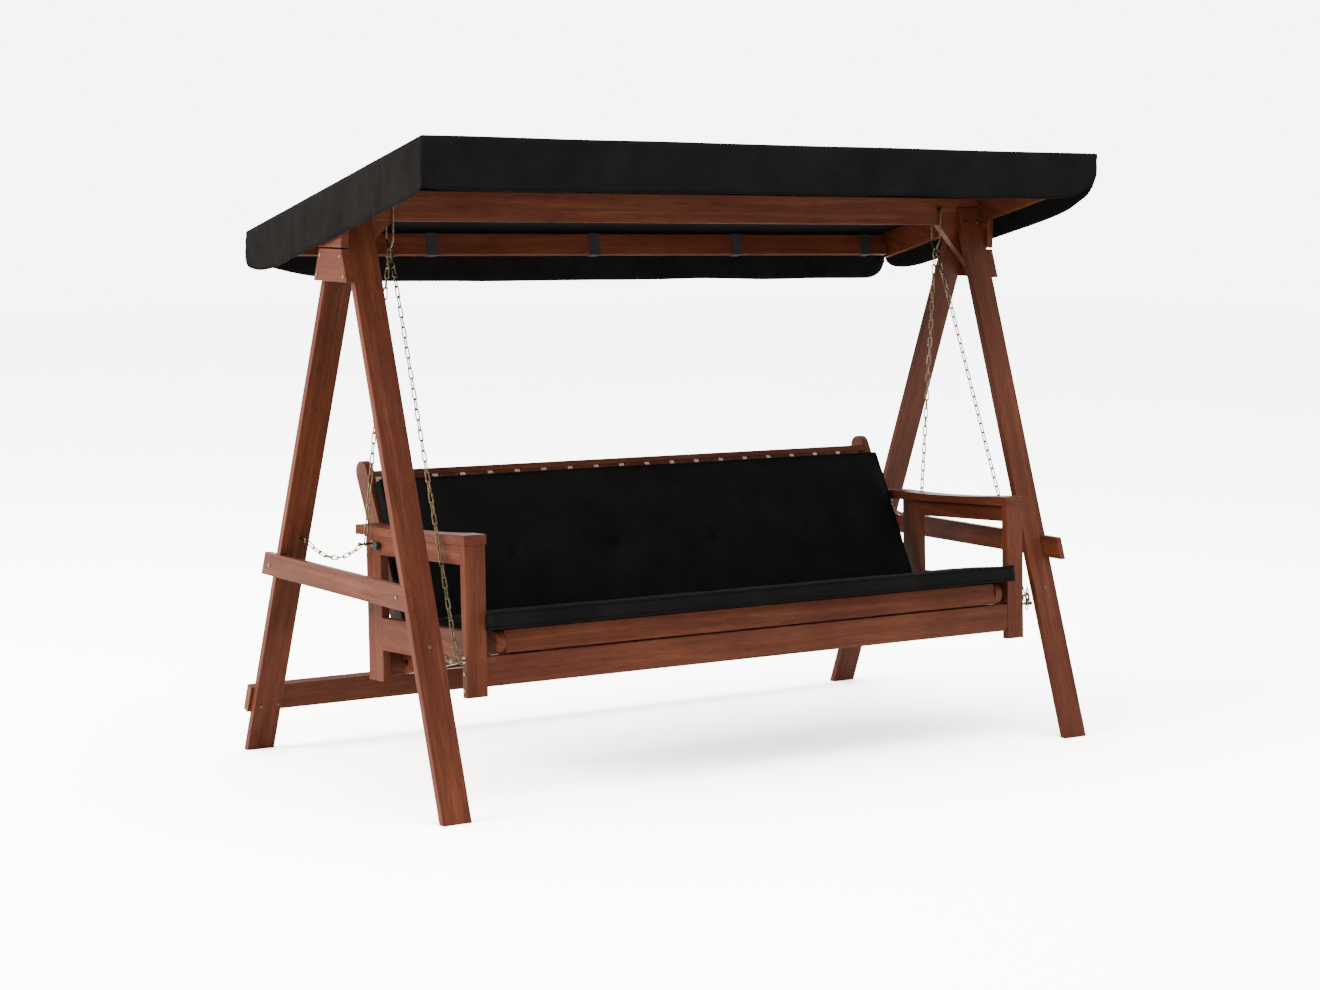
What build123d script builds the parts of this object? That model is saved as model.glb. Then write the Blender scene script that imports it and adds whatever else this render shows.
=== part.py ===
from build123d import *
from math import ceil, cos, radians, sin, tan
import os

# A wooden garden swing seat: two A-frames, a ridge beam, a fixed fabric roof, and a
# slatted bench that hangs on four chains and folds flat. Millimetres, +X to the
# sitter's left, +Y to the back, +Z up, origin on the ground under the middle.

# ---- driving dimensions -------------------------------------------------------
STAND_LENGTH = 2500      # over the outer edges of the legs
STAND_DEPTH = 1265       # over the feet, front to back
LEG_TOP = 1760
LEG_LEAN = 19.2          # degrees from upright
LEG_WIDTH = 95
LEG_THICK = 24
EASE = 2                 # rounding of sawn long edges

BEAM_THICK = 28
BEAM_HEIGHT = 92
BEAM_UNDER = 1700

CHEEK_CHAMFER = 1
CHEEK_THICK = 26         # gussets, roof blocks and roof side rails share one plane
GUSSET_LOW = 1522
GUSSET_HIGH = 1618
BLOCK_GAP = 5
BLOCK_HALF = 70

BRACE_THICK = 22
BRACE_LOW = 585.5
BRACE_HEIGHT = 72
BRACE_TAIL = 78          # how far one end runs past the leg
KNEE_WIDTH = 90
KNEE_ANGLE = 45
KNEE_REACH = 175         # along the beam and down the gusset

STRETCHER_LENGTH = 2520
STRETCHER_WIDTH = 89
STRETCHER_THICK = 28
STRETCHER_LEVEL = 170

ROOF_PITCH = 14.8        # degrees, high at the front
ROOF_LENGTH = 2576
ROOF_DEPTH = 1125        # along the slope
ROOF_LEVEL = 1803.5      # cloth height at the middle of the roof
ROOF_SHIFT = -13.5
CLOTH = 4
VALANCE_DROP = 155
VALANCE_ROUND = 90
CLOTH_GAP = 1            # cloth to the boards under it, and valance to valance
SEAM_GAP = 1.5           # cloth to the top edges of the valances
SIDE_RAIL_HEIGHT = 88
SIDE_RAIL_FRONT = -530
SIDE_RAIL_BACK = 545
CROSS_RAIL_HEIGHT = 70
CROSS_RAIL_TOP = 16      # how far the front and rear rails lie below the cloth
FRONT_RAIL_START = -530
REAR_RAIL_START = 515
STRAP_WIDTH = 40
STRAP_THICK = 1.8
STRAP_PLAY = 0.1
STRAP_PLACES = (-1190, -655, -26, 569, 1147)

HEAD_R = 6               # screw heads
HEAD_HEIGHT = 2.5
HEAD_DOME = 1.8
GUSSET_SCREW_RISE = 16   # from the gusset's lower edge
GUSSET_SCREW_DROP = 20   # from its upper edge
GUSSET_SCREW_INSET = 14
BRACE_SCREWS = ((-356, 621), (451, 619))
STRETCHER_SCREWS = (1170, 1228)
STRETCHER_SCREW_DROP = 20
BEAM_SCREWS = (1179, 1232)
BEAM_SCREW_LEVEL = 1713
HOOK_SCREW = (1200, 487)  # x and height of the nut on a front leg's outer face
NUT_R = 7.5
NUT_HEIGHT = 5
BOLT_HOLE_PLAY = 0.2

PIVOT_LEVEL = 1627       # where the chains rock in the stirrups
STIRRUP_X = 1075
STIRRUP_HALF = 21
STIRRUP_WIRE = 6
STIRRUP_BEND = 8
STIRRUP_BOLT_R = 4
STIRRUP_BOLT_LEVEL = 1752
STIRRUP_BOLT_GAP = 0.3   # eye to nut
EYE_R = 10
EYE_BITE = 1             # how far the wire runs into its eye
EYE_HALF = 3.6
STIRRUP_SHOULDER = 1645  # where its straight sides turn in
STIRRUP_DROP = 16        # the point of the V below the rocking line
CHAIN_WIRE = 4
LINK_INSIDE = 32         # inside length of a link, which is the chain's pitch
LINK_BORE = 8            # inside width of a link
CHAINS_APART = 2.5       # each chain from the middle of its stirrup

HANG_TILT = 3.2          # degrees that the bench leans back as it hangs
BENCH_HALF = 1086        # middle to the outer face of an arm
POST_WIDTH = 70
RAIL_THICK = 27
FRONT_FACE = -415
REAR_POST_FRONT = 84
REAR_POST_DEPTH = 90
ARM_FOOT = 304
ARM_UNDER = 749
ARM_THICK = 30
ARM_FRONT = -418
ARM_BACK = 235
ARM_INSIDE = 1013
ARM_OUTSIDE = 1088
ARM_DIP = 7
ARM_FLAT = 70            # level part at each end of an armrest
UPPER_RAIL_LOW = 692
LOWER_RAIL_LOW = 400
LOWER_RAIL_HIGH = 500
FRONT_POST_SCREWS = (375, 325)
REAR_POST_SCREWS = (410, 372)
CROSS_RAIL_SET = 2       # cross rails behind the faces of the posts
FRONT_RAIL_LOW = 331
FRONT_RAIL_HIGH = 420.5
FRONT_RAIL_BEVEL = 16
FRONT_RAIL_BEVEL_RISE = 7
REAR_RAIL_LOW = 312
REAR_RAIL_HIGH = 400

FRONT_BOLT = (1110, FRONT_FACE + RAIL_THICK / 2, 415)
REAR_BOLT = (1110, 134, 725)
BOLT_PLAY = 6            # bolt centre to the wire centre of the link around it
CHAIN_BOLT_R = 3.4
CHAIN_BOLT_REACH = 42
CHAIN_WASHER_R = 11
WASHER_THICK = 2
KNOB_AHEAD = 46          # in front of the rear bolt
KNOB_BELOW = 4
KNOB_STEM_R = 7
KNOB_STEM = 6
KNOB_R = 12.5
KNOB_DEPTH = 13
KNOB_ROUND = 4

FRONT_HOOK = (1183, 487)  # x and height of a front leg's hook
REAR_HOOK = (1185, 707)
HOOK_WIRE = 5
HOOK_REACH = 26
HOOK_RETURN = 12
HOOK_TIP = 13
HOOK_BEND = 5
HOOK_PLATE_R = 8
HOLD_ASIDE = 12          # hold-back chain beside the hanging chain on its bolt
HOLD_REACH = 24          # leg face to the link in its hook
HOLD_DROP = 6
SPARE_START = 0.75       # share of a link from the hook to the first spare link
FRONT_HOLD_INSET = 18
FRONT_HOLD_SAG = 4
FRONT_HOLD_LINKS = 3
FRONT_HOLD_SPARE = 2
REAR_HOLD_INSET = 12
REAR_HOLD_SAG = 46
REAR_HOLD_LINKS = 9
REAR_HOLD_SPARE = 1

BEAD_WIDTH = 70          # depth of the seat rails and back stiles
HINGE_Y = 71
HINGE_Z = 358
SEAT_SLOPE = 12.24       # degrees below level towards the back
SEAT_REACH = 471.7       # hinge to the front rest
BACK_LEAN = 24.4         # degrees from upright
STILE_REACH = 631        # hinge to the centre of the stile's round top
SLAT_WIDTH = 75
SLAT_PITCH = 102
SLAT_COUNT = 19
SLAT_THICK = 15
HINGE_BOLT_R = 5
HINGE_BOLT_OVER = 1      # bolt end to the faces of the boards it joins
HINGE_NUT_R = 9
RUNNING_GAP = 0.05
SEAT_RAIL_INNER = 956
SEAT_RAIL_OUTER = 983
SEAT_FRONT_LAP = 28      # front board before the centre of the rails' round ends
SEAT_REAR_BOARD = -60
SEAT_TOP = 31
STILE_INNER = 984
STILE_OUTER = 1011
BACK_RAIL_THICK = 20
BACK_RAIL_LOW = 78
BACK_RAIL_HIGH = 600
BACK_SLAT_SET = 2        # slat faces behind the edges of the stiles

CUSHION_HALF = 1012
CUSHION_ROUND = 18
SEAT_CUSHION_TURN = 3.84
SEAT_CUSHION_FRONT = -540
SEAT_CUSHION_UNDER = 33
SEAT_CUSHION_DEPTH = 508
SEAT_CUSHION_THICK = 58
BACK_CUSHION_HALF = 994
BACK_CUSHION_GAP = 2
BACK_CUSHION_FOOT = 113
BACK_CUSHION_HEAD = 573
BACK_CUSHION_THICK = 52

# ---- worked out ---------------------------------------------------------------
leg_outer = STAND_LENGTH / 2
leg_inner = leg_outer - LEG_WIDTH
leg_slope = tan(radians(LEG_LEAN))
leg_level_thick = LEG_THICK / cos(radians(LEG_LEAN))
beam_half = BEAM_THICK / 2
beam_top = BEAM_UNDER + BEAM_HEIGHT
cheek_outer = leg_outer + CHEEK_THICK
bead_half = BEAD_WIDTH / 2

HUNG = Plane(
    origin=(0, 0, PIVOT_LEVEL),
    x_dir=(1, 0, 0),
    z_dir=(0, sin(radians(HANG_TILT)), cos(radians(HANG_TILT))),
).offset(-PIVOT_LEVEL)
ROOF = Plane(
    origin=(0, ROOF_SHIFT, ROOF_LEVEL),
    x_dir=(1, 0, 0),
    z_dir=(0, sin(radians(ROOF_PITCH)), cos(radians(ROOF_PITCH))),
)


def turned(frame, origin, angle):
    """A frame at a point of another one, turned by an angle about its X axis."""
    start = Plane(
        origin=frame.from_local_coords(Vector(*origin)), x_dir=frame.x_dir, z_dir=frame.z_dir
    )
    return start.rotated((angle, 0, 0))


SEAT = turned(HUNG, (0, HINGE_Y, HINGE_Z), -SEAT_SLOPE)
BACK = turned(HUNG, (0, HINGE_Y, HINGE_Z), 90 - BACK_LEAN)


def side_view(frame, x):
    """The plane across a frame at x: sketch X runs to the back, sketch Y runs up."""
    return Plane(
        origin=frame.from_local_coords(Vector(x, 0, 0)), x_dir=frame.y_dir, z_dir=frame.x_dir
    )


def save(piece, name):
    piece.label = name
    export_step(piece, f"parts/{name}.step")


def leg_face(z):
    """How far the outer face of a leg is from the middle, at a height."""
    return STAND_DEPTH / 2 - leg_slope * z


def roof_under(y, drop):
    """Height of the plane that lies a drop below the cloth, square to it, at y."""
    pitch = radians(ROOF_PITCH)
    return ROOF_LEVEL - (y - ROOF_SHIFT) * tan(pitch) - drop / cos(pitch)


def board(name, frame, low, high):
    """A sawn board between two corners of a frame, its long edges eased."""
    low = Vector(*low)
    size = Vector(*high) - low
    with BuildPart(frame) as piece:
        with Locations(low + size / 2):
            Box(size.X, size.Y, size.Z)
        fillet(piece.edges().sort_by(SortBy.LENGTH)[-4:], EASE)
    save(piece.part, name)


def cheek_x(side, inner, outer):
    """Where a profile starts so that it grows along +X from the lower face."""
    return inner if side > 0 else -outer


# ---- stand --------------------------------------------------------------------
def brace_outline(way):
    """Corners of a side brace: one end flush with a leg, the other with a tail."""
    high = BRACE_LOW + BRACE_HEIGHT
    return [
        (-way * leg_face(BRACE_LOW), BRACE_LOW),
        (way * (leg_face(BRACE_LOW) + BRACE_TAIL), BRACE_LOW),
        (way * (leg_face(high) + BRACE_TAIL), high),
        (-way * leg_face(high), high),
    ]


def make_leg(side, end, name):
    """A leaning board, bevelled inside where it lies against the beam, and housed
    at its outer edge for the side brace."""
    inner_meets_beam = (STAND_DEPTH / 2 - leg_level_thick - beam_half) / leg_slope
    outline = [
        (end * leg_face(0), 0),
        (end * leg_face(LEG_TOP), LEG_TOP),
        (end * beam_half, LEG_TOP),
        (end * beam_half, inner_meets_beam),
        (end * (leg_face(0) - leg_level_thick), 0),
    ]
    with BuildPart() as leg:
        with BuildSketch(Plane.YZ.offset(cheek_x(side, leg_inner, leg_outer))):
            with BuildLine():
                Polyline(*outline, close=True)
            make_face()
        extrude(amount=LEG_WIDTH)
        fillet(leg.edges().sort_by(SortBy.LENGTH)[-4:], EASE)
        with BuildSketch(Plane.YZ.offset(cheek_x(side, leg_outer - BRACE_THICK, leg_outer))):
            with BuildLine():
                Polyline(*brace_outline(-side), close=True)
            make_face()
        extrude(amount=BRACE_THICK, mode=Mode.SUBTRACT)
    save(leg.part, name)


def make_cheek(name, side, outline, inner, outer):
    """A flat board cut to an outline seen from the side."""
    with BuildPart() as cheek:
        with BuildSketch(Plane.YZ.offset(cheek_x(side, inner, outer))):
            with BuildLine():
                Polyline(*outline, close=True)
            make_face()
        extrude(amount=outer - inner)
        chamfer(cheek.edges().filter_by(Axis.X, reverse=True), CHEEK_CHAMFER)
    save(cheek.part, name)


def make_knee(side):
    """A short diagonal board from the beam's underside to the gusset."""
    across = KNEE_WIDTH / sin(radians(KNEE_ANGLE))
    low = BEAM_UNDER - KNEE_REACH
    outline = [
        (side * (leg_outer - KNEE_REACH), BEAM_UNDER),
        (side * leg_outer, low),
        (side * leg_outer, low + across),
        (side * (leg_outer - KNEE_REACH + across), BEAM_UNDER),
    ]
    with BuildPart() as knee:
        with BuildSketch(Plane.XZ):
            with BuildLine():
                Polyline(*outline, close=True)
            make_face()
        extrude(amount=beam_half, both=True)
    return knee.part


def make_stand():
    for side, word in ((-1, "left"), (1, "right")):
        make_leg(side, -1, f"leg_front_{word}")
        make_leg(side, 1, f"leg_rear_{word}")
        brace = brace_outline(-side)
        make_cheek(f"side_brace_{word}", side, brace, leg_outer - BRACE_THICK, leg_outer)
        gusset = [
            (-leg_face(GUSSET_LOW), GUSSET_LOW),
            (leg_face(GUSSET_LOW), GUSSET_LOW),
            (leg_face(GUSSET_HIGH), GUSSET_HIGH),
            (-leg_face(GUSSET_HIGH), GUSSET_HIGH),
        ]
        make_cheek(f"gusset_{word}", side, gusset, leg_outer, cheek_outer)
        block_foot = GUSSET_HIGH + BLOCK_GAP
        rail_drop = CLOTH + CLOTH_GAP + SIDE_RAIL_HEIGHT
        block = [
            (-BLOCK_HALF, block_foot),
            (BLOCK_HALF, block_foot),
            (BLOCK_HALF, roof_under(BLOCK_HALF, rail_drop)),
            (-BLOCK_HALF, roof_under(-BLOCK_HALF, rail_drop)),
        ]
        make_cheek(f"roof_block_{word}", side, block, leg_outer, cheek_outer)
    save(Compound(children=[make_knee(-1), make_knee(1)]), "knee_braces")

    with BuildPart() as beam:
        with Locations((0, 0, BEAM_UNDER + BEAM_HEIGHT / 2)):
            Box(STAND_LENGTH, BEAM_THICK, BEAM_HEIGHT)
        fillet(beam.edges().filter_by(Axis.X), EASE)
        bolt_plane = Plane.XZ.offset(-beam_half)
        with BuildSketch(bolt_plane):
            with Locations((-STIRRUP_X, STIRRUP_BOLT_LEVEL), (STIRRUP_X, STIRRUP_BOLT_LEVEL)):
                Circle(STIRRUP_BOLT_R + BOLT_HOLE_PLAY)
        extrude(amount=BEAM_THICK, mode=Mode.SUBTRACT)
    save(beam.part, "top_beam")

    rear_face = Plane(
        origin=(0, leg_face(STRETCHER_LEVEL), STRETCHER_LEVEL),
        x_dir=(1, 0, 0),
        z_dir=(0, cos(radians(LEG_LEAN)), sin(radians(LEG_LEAN))),
    )
    half = STRETCHER_LENGTH / 2
    board(
        "rear_stretcher",
        rear_face,
        (-half, -STRETCHER_WIDTH / 2, 0),
        (half, STRETCHER_WIDTH / 2, STRETCHER_THICK),
    )


# ---- roof ---------------------------------------------------------------------
def make_straps():
    """Webbing loops that tie the cloth to its front and rear rails."""
    inside = (CHEEK_THICK + 2 * STRAP_PLAY, CROSS_RAIL_HEIGHT + 2 * STRAP_PLAY)
    middle = -CROSS_RAIL_TOP - CROSS_RAIL_HEIGHT / 2
    loops = []
    for start in (FRONT_RAIL_START, REAR_RAIL_START):
        for x in STRAP_PLACES:
            with BuildPart(ROOF) as loop:
                with Locations((x, start + CHEEK_THICK / 2, middle)):
                    Box(STRAP_WIDTH, inside[0] + 2 * STRAP_THICK, inside[1] + 2 * STRAP_THICK)
                    Box(STRAP_WIDTH, inside[0], inside[1], mode=Mode.SUBTRACT)
            loops.append(loop.part)
    save(Compound(children=loops), "roof_straps")


def make_roof():
    under_cloth = -(CLOTH + CLOTH_GAP)
    for side, word in ((-1, "left"), (1, "right")):
        x = sorted((side * leg_outer, side * cheek_outer))
        board(
            f"roof_side_rail_{word}",
            ROOF,
            (x[0], SIDE_RAIL_FRONT, under_cloth - SIDE_RAIL_HEIGHT),
            (x[1], SIDE_RAIL_BACK, under_cloth),
        )
    for word, start in (("front", FRONT_RAIL_START), ("rear", REAR_RAIL_START)):
        board(
            f"roof_{word}_rail",
            ROOF,
            (-leg_outer, start, -CROSS_RAIL_TOP - CROSS_RAIL_HEIGHT),
            (leg_outer, start + CHEEK_THICK, -CROSS_RAIL_TOP),
        )

    with BuildPart(ROOF) as top:
        with Locations((0, 0, -CLOTH / 2)):
            Box(ROOF_LENGTH, ROOF_DEPTH, CLOTH)
    save(top.part, "canopy_top")

    front = ROOF_SHIFT - ROOF_DEPTH / 2 * cos(radians(ROOF_PITCH))
    back = 2 * ROOF_SHIFT - front
    half = ROOF_LENGTH / 2 - CLOTH - CLOTH_GAP
    seam = CLOTH + SEAM_GAP
    for word, y, away in (("front", front, CLOTH), ("rear", back, 0)):
        low = roof_under(y, 0) - VALANCE_DROP
        high = roof_under(y, seam)
        with BuildPart() as valance:
            with BuildSketch(Plane.XZ.offset(-y - away)) as flap:
                with Locations((0, (low + high) / 2)):
                    Rectangle(2 * half, high - low)
                fillet(flap.vertices().group_by(Axis.Y)[0], VALANCE_ROUND)
            extrude(amount=CLOTH)
        save(valance.part, f"canopy_{word}_valance")

    for side, word in ((-1, "left"), (1, "right")):
        start = cheek_x(side, half + CLOTH_GAP, half + CLOTH_GAP + CLOTH)
        with BuildPart() as valance:
            with BuildSketch(Plane.YZ.offset(start)) as flap:
                with BuildLine():
                    Polyline(
                        (front, roof_under(front, seam)),
                        (front, roof_under(front, 0) - VALANCE_DROP),
                        (back, roof_under(back, 0) - VALANCE_DROP),
                        (back, roof_under(back, seam)),
                        close=True,
                    )
                make_face()
                corners = flap.vertices()
                ends = [corners.sort_by(Axis.X)[:2], corners.sort_by(Axis.X)[-2:]]
                fillet([end.sort_by(Axis.Y)[0] for end in ends], VALANCE_ROUND)
            extrude(amount=CLOTH)
        save(valance.part, f"canopy_{word}_valance")


# ---- fittings of the stand ----------------------------------------------------
def stand_screws():
    """Each screw of the stand: a point under its head and the way the head faces."""
    lean = radians(LEG_LEAN)
    spots = []
    for side in (-1, 1):
        for z in (GUSSET_LOW + GUSSET_SCREW_RISE, GUSSET_HIGH - GUSSET_SCREW_DROP):
            for end in (-1, 1):
                y = end * (leg_face(z) - GUSSET_SCREW_INSET)
                spots.append(((side * cheek_outer, y, z), (side, 0, 0)))
        for y, z in BRACE_SCREWS:
            spots.append(((side * leg_outer, -side * y, z), (side, 0, 0)))
        for x in STRETCHER_SCREWS:
            z = STRETCHER_LEVEL - STRETCHER_SCREW_DROP
            y = leg_face(z) - leg_level_thick
            spots.append(((side * x, y, z), (0, -cos(lean), -sin(lean))))
        for x in BEAM_SCREWS:
            y = -leg_face(BEAM_SCREW_LEVEL)
            spots.append(((side * x, y, BEAM_SCREW_LEVEL), (0, -cos(lean), sin(lean))))
        x, z = HOOK_SCREW
        spots.append(((side * x, -leg_face(z), z), (0, -cos(lean), sin(lean))))
    return spots


def screw_set(name, spots):
    """The domed heads of wood screws, in one group."""
    with BuildPart() as head:
        with BuildSketch():
            Circle(HEAD_R)
        extrude(amount=HEAD_HEIGHT)
        fillet(head.edges().sort_by(Axis.Z)[-1], HEAD_DOME)
    places = [Plane(origin=point, z_dir=facing).location for point, facing in spots]
    group = Compound(children=[head.part.moved(place) for place in places])
    save(group, name)


def make_stirrups():
    bends = [
        (-STIRRUP_HALF, STIRRUP_BOLT_LEVEL - EYE_R + EYE_BITE),
        (-STIRRUP_HALF, STIRRUP_SHOULDER),
        (0, PIVOT_LEVEL - STIRRUP_DROP),
        (STIRRUP_HALF, STIRRUP_SHOULDER),
        (STIRRUP_HALF, STIRRUP_BOLT_LEVEL - EYE_R + EYE_BITE),
    ]
    solids = []
    for side in (-1, 1):
        with BuildPart() as stirrup:
            with BuildLine(Plane.YZ.offset(side * STIRRUP_X)) as route:
                FilletPolyline(*bends, radius=STIRRUP_BEND)
            with BuildSketch(Plane(origin=route.line @ 0, z_dir=route.line % 0)):
                Circle(STIRRUP_WIRE / 2)
            sweep()
            for end in (-1, 1):
                eye = Plane.XZ.offset(-end * STIRRUP_HALF)
                with BuildSketch(eye):
                    with Locations((side * STIRRUP_X, STIRRUP_BOLT_LEVEL)):
                        Circle(EYE_R)
                extrude(amount=EYE_HALF, both=True)
                with BuildSketch(eye):
                    with Locations((side * STIRRUP_X, STIRRUP_BOLT_LEVEL)):
                        Circle(STIRRUP_BOLT_R + BOLT_HOLE_PLAY)
                extrude(amount=STIRRUP_WIRE, both=True, mode=Mode.SUBTRACT)
        solids.append(stirrup.part)
    save(Compound(children=solids), "stirrups")

    bolts = []
    head_start = STIRRUP_HALF + EYE_HALF + STIRRUP_BOLT_GAP
    for side in (-1, 1):
        with BuildPart() as bolt:
            with BuildSketch(Plane.XZ):
                with Locations((side * STIRRUP_X, STIRRUP_BOLT_LEVEL)):
                    Circle(STIRRUP_BOLT_R)
            extrude(amount=head_start, both=True)
            for end in (-1, 1):
                with BuildSketch(Plane.XZ.offset(end * head_start)):
                    with Locations((side * STIRRUP_X, STIRRUP_BOLT_LEVEL)):
                        RegularPolygon(radius=NUT_R, side_count=6)
                extrude(amount=end * NUT_HEIGHT)
        bolts.append(bolt.part)
    save(Compound(children=bolts), "stirrup_bolts")


def hook_places():
    """Where each hook leaves its leg, and the way it points."""
    lean = radians(LEG_LEAN)
    places = []
    for side in (-1, 1):
        for end, (x, z) in ((-1, FRONT_HOOK), (1, REAR_HOOK)):
            y = end * (leg_face(z) - leg_level_thick)
            places.append(Plane(
                origin=(side * x, y, z), x_dir=(1, 0, 0), z_dir=(0, -end * cos(lean), -sin(lean))
            ))
    return places


def make_hooks():
    with BuildPart() as hook:
        with BuildLine(Plane.YZ) as route:
            FilletPolyline(
                (0, 0),
                (0, HOOK_REACH),
                (HOOK_RETURN, HOOK_REACH),
                (HOOK_RETURN, HOOK_REACH - HOOK_TIP),
                radius=HOOK_BEND,
            )
        with BuildSketch(Plane(origin=route.line @ 0, z_dir=route.line % 0)):
            Circle(HOOK_WIRE / 2)
        sweep()
        with BuildSketch(Plane.XY):
            Circle(HOOK_PLATE_R)
        extrude(amount=WASHER_THICK)
    group = [hook.part.moved(place.location) for place in hook_places()]
    save(Compound(children=group), "leg_hooks")


# ---- chains -------------------------------------------------------------------
def make_link():
    """One welded link, its long way along Z and its flat side across Y."""
    bend = (LINK_BORE + CHAIN_WIRE) / 2
    straight = (LINK_INSIDE + CHAIN_WIRE) / 2 - bend
    with BuildPart() as link:
        with BuildSketch(Plane.XY):
            with Locations((-bend, 0), (bend, 0)):
                Circle(CHAIN_WIRE / 2)
        extrude(amount=straight, both=True)
        for end in (-1, 1):
            with BuildSketch(Plane.XY.offset(end * straight)):
                with Locations((bend, 0)):
                    Circle(CHAIN_WIRE / 2)
            across = Axis((0, 0, end * straight), (0, -end, 0))
            revolve(axis=across, revolution_arc=180)
    return link.part


def linked(link, centres, ways, start, last_across):
    """Links at given centres, the first turned by a start angle from lying flat to X.
    Each next one turns by about a quarter, so that the last lies flat to X or across."""
    gaps = len(centres) - 1
    quarters = gaps + (gaps + last_across) % 2
    row = []
    for number, (centre, way) in enumerate(zip(centres, ways)):
        turn = radians(start + number * 90 * quarters / gaps)
        upright = way.cross(Vector(1, 0, 0)).normalized()
        across = upright.cross(way) * cos(turn) + upright * sin(turn)
        row.append(link.moved(Plane(origin=centre, x_dir=across, z_dir=way).location))
    return row


def straight_chain(name, link, top, bolt):
    """A taut chain from a stirrup, its last link edge-on around a bolt along X."""
    way = (bolt - top).normalized()
    half_link = (LINK_INSIDE + CHAIN_WIRE) / 2
    first = top + way * half_link
    run = bolt + way * BOLT_PLAY - way * half_link - first
    gaps = ceil(run.length / LINK_INSIDE)
    centres = [first + run * (number / gaps) for number in range(gaps + 1)]
    save(Compound(children=linked(link, centres, [way] * (gaps + 1), 0, 1)), name)


def slack_links(link, bolt, hook, sag, count, spare):
    """Links that sag from a bolt to a hook, and spare ones hanging at the hook."""
    reach = hook - bolt
    down = Vector(0, 0, -1)
    start_way = (reach + down * (4 * sag)).normalized()
    start = bolt - start_way * BOLT_PLAY
    reach = hook - start
    centres = []
    ways = []
    for number in range(count):
        t = (number + 0.5) / count
        centres.append(start + reach * t + down * (4 * sag * t * (1 - t)))
        ways.append((reach + down * (4 * sag * (1 - 2 * t))).normalized())
    for number in range(spare):
        centres.append(hook + down * (LINK_INSIDE * (number + SPARE_START)))
        ways.append(down)
    return linked(link, centres, ways, 90, 0)


def bench_point(side, spot):
    """A point of the hanging frame, mirrored to a side, in the stand's frame."""
    x, y, z = spot
    return HUNG.from_local_coords(Vector(side * x, y, z))


def make_chains():
    link = make_link()
    slack = []
    for side, word in ((-1, "left"), (1, "right")):
        hang = Vector(side * STIRRUP_X, 0, PIVOT_LEVEL)
        apart = Vector(0, CHAINS_APART, 0)
        front_bolt = bench_point(side, FRONT_BOLT)
        rear_bolt = bench_point(side, REAR_BOLT)
        straight_chain(f"chain_front_{word}", link, hang - apart, front_bolt)
        straight_chain(f"chain_rear_{word}", link, hang + apart, rear_bolt)
        aside = Vector(side * HOLD_ASIDE, 0, 0)
        x, z = FRONT_HOOK
        y = -leg_face(z) + leg_level_thick + HOLD_REACH
        hook = Vector(side * (x - FRONT_HOLD_INSET), y, z - HOLD_DROP)
        slack += slack_links(
            link, front_bolt + aside, hook, FRONT_HOLD_SAG, FRONT_HOLD_LINKS, FRONT_HOLD_SPARE
        )
        x, z = REAR_HOOK
        y = leg_face(z) - leg_level_thick - HOLD_REACH
        hook = Vector(side * (x - REAR_HOLD_INSET), y, z - HOLD_DROP)
        slack += slack_links(
            link, rear_bolt + aside, hook, REAR_HOLD_SAG, REAR_HOLD_LINKS, REAR_HOLD_SPARE
        )
    save(Compound(children=slack), "hold_chains")


# ---- arms ---------------------------------------------------------------------
def make_arms():
    for side, word in ((-1, "left"), (1, "right")):
        thin = sorted((side * BENCH_HALF, side * (BENCH_HALF - RAIL_THICK)))
        wide = sorted((side * BENCH_HALF, side * (BENCH_HALF - POST_WIDTH)))
        post_back = FRONT_FACE + RAIL_THICK
        rear_back = REAR_POST_FRONT + REAR_POST_DEPTH
        board(
            f"arm_front_post_{word}", HUNG,
            (wide[0], FRONT_FACE, ARM_FOOT), (wide[1], post_back, ARM_UNDER),
        )
        board(
            f"arm_rear_post_{word}", HUNG,
            (thin[0], REAR_POST_FRONT, ARM_FOOT), (thin[1], rear_back, ARM_UNDER),
        )
        upper = ("upper", UPPER_RAIL_LOW, ARM_UNDER)
        lower = ("lower", LOWER_RAIL_LOW, LOWER_RAIL_HIGH)
        for level, low, high in (upper, lower):
            board(
                f"arm_{level}_rail_{word}", HUNG,
                (thin[0], post_back, low), (thin[1], REAR_POST_FRONT, high),
            )
        make_armrest(side, f"armrest_{word}")


def make_armrest(side, name):
    """A flat armrest, hollowed a little along its top."""
    top = ARM_UNDER + ARM_THICK
    middle = (ARM_FRONT + ARM_BACK) / 2
    front_flat = ARM_FRONT + ARM_FLAT
    back_flat = ARM_BACK - ARM_FLAT
    with BuildPart() as rest:
        with BuildSketch(side_view(HUNG, cheek_x(side, ARM_INSIDE, ARM_OUTSIDE))):
            with BuildLine():
                Polyline(
                    (front_flat, top),
                    (ARM_FRONT, top),
                    (ARM_FRONT, ARM_UNDER),
                    (ARM_BACK, ARM_UNDER),
                    (ARM_BACK, top),
                    (back_flat, top),
                )
                ThreePointArc((back_flat, top), (middle, top - ARM_DIP), (front_flat, top))
            make_face()
        extrude(amount=ARM_OUTSIDE - ARM_INSIDE)
        ends = rest.edges().filter_by(lambda edge: abs(edge.tangent_at(0).X) > 0.9)
        fillet(ends.filter_by(lambda edge: abs(edge.length - ARM_OUTSIDE + ARM_INSIDE) < 1), EASE)
    save(rest.part, name)


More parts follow.
